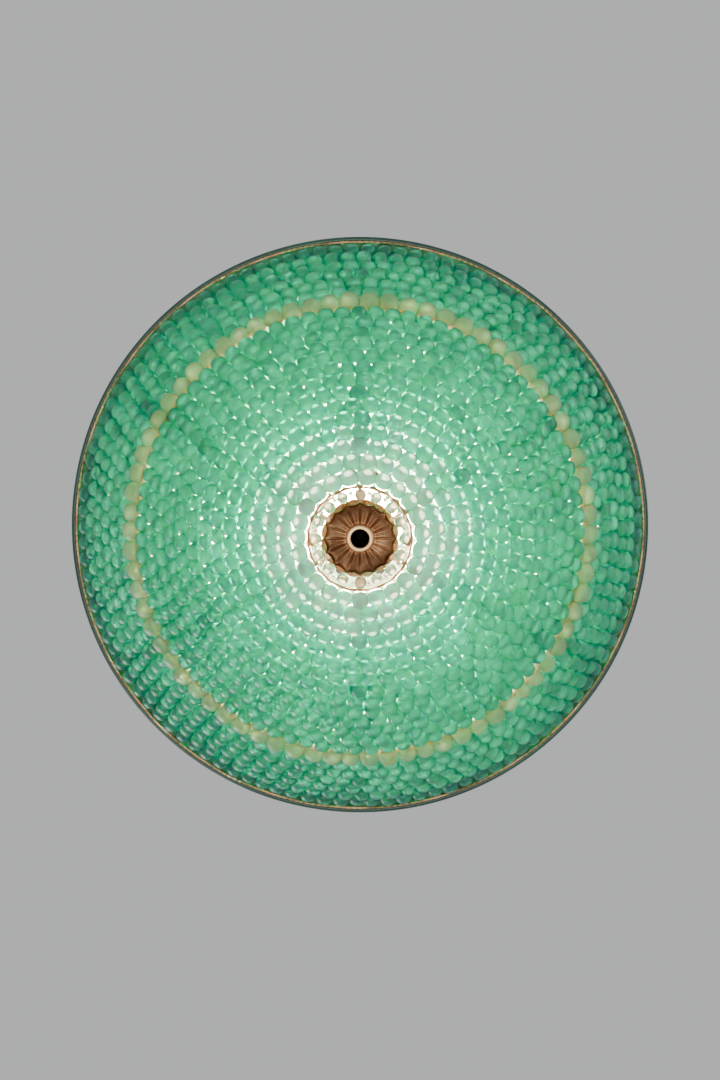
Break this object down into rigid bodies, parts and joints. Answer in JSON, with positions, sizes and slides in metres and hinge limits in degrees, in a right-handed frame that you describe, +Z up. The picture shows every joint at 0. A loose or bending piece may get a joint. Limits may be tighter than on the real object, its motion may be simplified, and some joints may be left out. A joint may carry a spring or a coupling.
{
  "type": "pendant ceiling light",
  "caption": "Pendant light: a bowl of strung green glass beads on a wire frame, under a spun metal cover, hung from a ceiling canopy by a stem with a hang-straight swivel.",
  "frame": {"origin": "centre of the bracket in the plane where its feet meet the ceiling", "axes": "+Z up, along the stem; +X along the bracket"},
  "size_m": [0.32, 0.32, 0.5443],
  "materials": {
    "steel": "zinc-plated",
    "brass": "polished, lightly lacquered",
    "bronze": "antique bronze, rubbed at the edges",
    "copper_wire": "bare copper-coloured wire",
    "green_enamel": "gloss stove enamel",
    "porcelain": "glazed",
    "lead_sheath": "smooth sheath",
    "green_glass": "transparent emerald glass with small bubbles",
    "clear_glass": "clear glass with a faint green-amber cast",
    "bulb_glass": "frosted",
    "bulb_light": "warm white light column"
  },
  "bodies": {
    "ceiling": {"ceiling_bracket": "steel", "bracket_nut": "brass", "terminal_block": "porcelain", "lead_upper": "lead_sheath", "swivel_upper_yoke": "brass"},
    "canopy": {"canopy": "bronze", "canopy_collar": "brass"},
    "swivel_link": {"swivel_cross": "steel"},
    "stem": {"swivel_lower_yoke": "brass", "stem_tube": "bronze", "lead_lower": "lead_sheath", "top_cover": "green_enamel", "cover_nut": "brass", "lampholder_cap": "brass", "lampholder_shell": "brass", "lampholder_insulator": "porcelain", "lampholder_screw_shell": "copper_wire", "lampholder_contact": "brass"},
    "nut_1": {"knurled_nut_1": "brass"},
    "nut_2": {"knurled_nut_2": "brass"},
    "nut_3": {"knurled_nut_3": "brass"},
    "bulb": {"bulb_base": "steel", "bulb_glass": "bulb_glass", "bulb_light_column": "bulb_light"},
    "bowl": {"rim_hoop": "copper_wire", "rib_1": "copper_wire", "rib_2": "copper_wire", "rib_3": "copper_wire", "rib_4": "copper_wire", "rib_5": "copper_wire", "rib_6": "copper_wire", "bead_course_01": "green_glass", "bead_course_02": "green_glass", "bead_course_03": "green_glass", "bead_course_04": "green_glass", "bead_course_05": "green_glass", "bead_course_06": "green_glass", "bead_course_clear": "clear_glass", "bead_course_08": "green_glass", "bead_course_09": "green_glass", "bead_course_10": "green_glass", "bead_course_11": "green_glass", "bead_course_12": "green_glass", "bead_course_13": "green_glass", "bead_course_14": "green_glass", "bead_course_15": "green_glass", "bead_course_16": "green_glass", "bead_course_17": "green_glass", "bead_course_18": "green_glass", "bead_course_19": "green_glass", "bead_course_20": "green_glass", "bead_course_21": "green_glass", "bottom_hoop": "copper_wire", "clear_bead_ring": "clear_glass", "bottom_plate": "brass", "rosette": "bronze", "ring_nut": "brass", "ferrule_nut": "brass", "ferrule": "brass"}
  },
  "joints": [
    {"name": "canopy_slide", "type": "slide", "parent": "ceiling", "child": "canopy", "axis": [0, 0, -1], "range_m": [0, 0.03]},
    {"name": "swivel_tilt_x", "type": "hinge", "parent": "ceiling", "child": "swivel_link", "pos_m": [0, 0, -0.0556], "axis": [1, 0, 0], "range_deg": [-12, 12]},
    {"name": "swivel_tilt_y", "type": "hinge", "parent": "swivel_link", "child": "stem", "pos_m": [0, 0, -0.0556], "axis": [0, 1, 0], "range_deg": [-12, 12]},
    {"name": "bulb_release", "type": "slide", "parent": "stem", "child": "bulb", "axis": [0, 0, -1], "range_m": [0, 0.027]},
    {"name": "nut_turn_1", "type": "hinge", "parent": "stem", "child": "nut_1", "pos_m": [0, 0.15, -0.4187], "axis": [0, 0, 1], "continuous": true},
    {"name": "nut_turn_2", "type": "hinge", "parent": "stem", "child": "nut_2", "pos_m": [-0.1299, -0.075, -0.4187], "axis": [0, 0, 1], "continuous": true},
    {"name": "nut_turn_3", "type": "hinge", "parent": "stem", "child": "nut_3", "pos_m": [0.1299, -0.075, -0.4187], "axis": [0, 0, 1], "continuous": true},
    {"name": "bowl_lower", "type": "slide", "parent": "stem", "child": "bowl", "axis": [0, 0, -1], "range_m": [0, 0.15]}
  ]
}
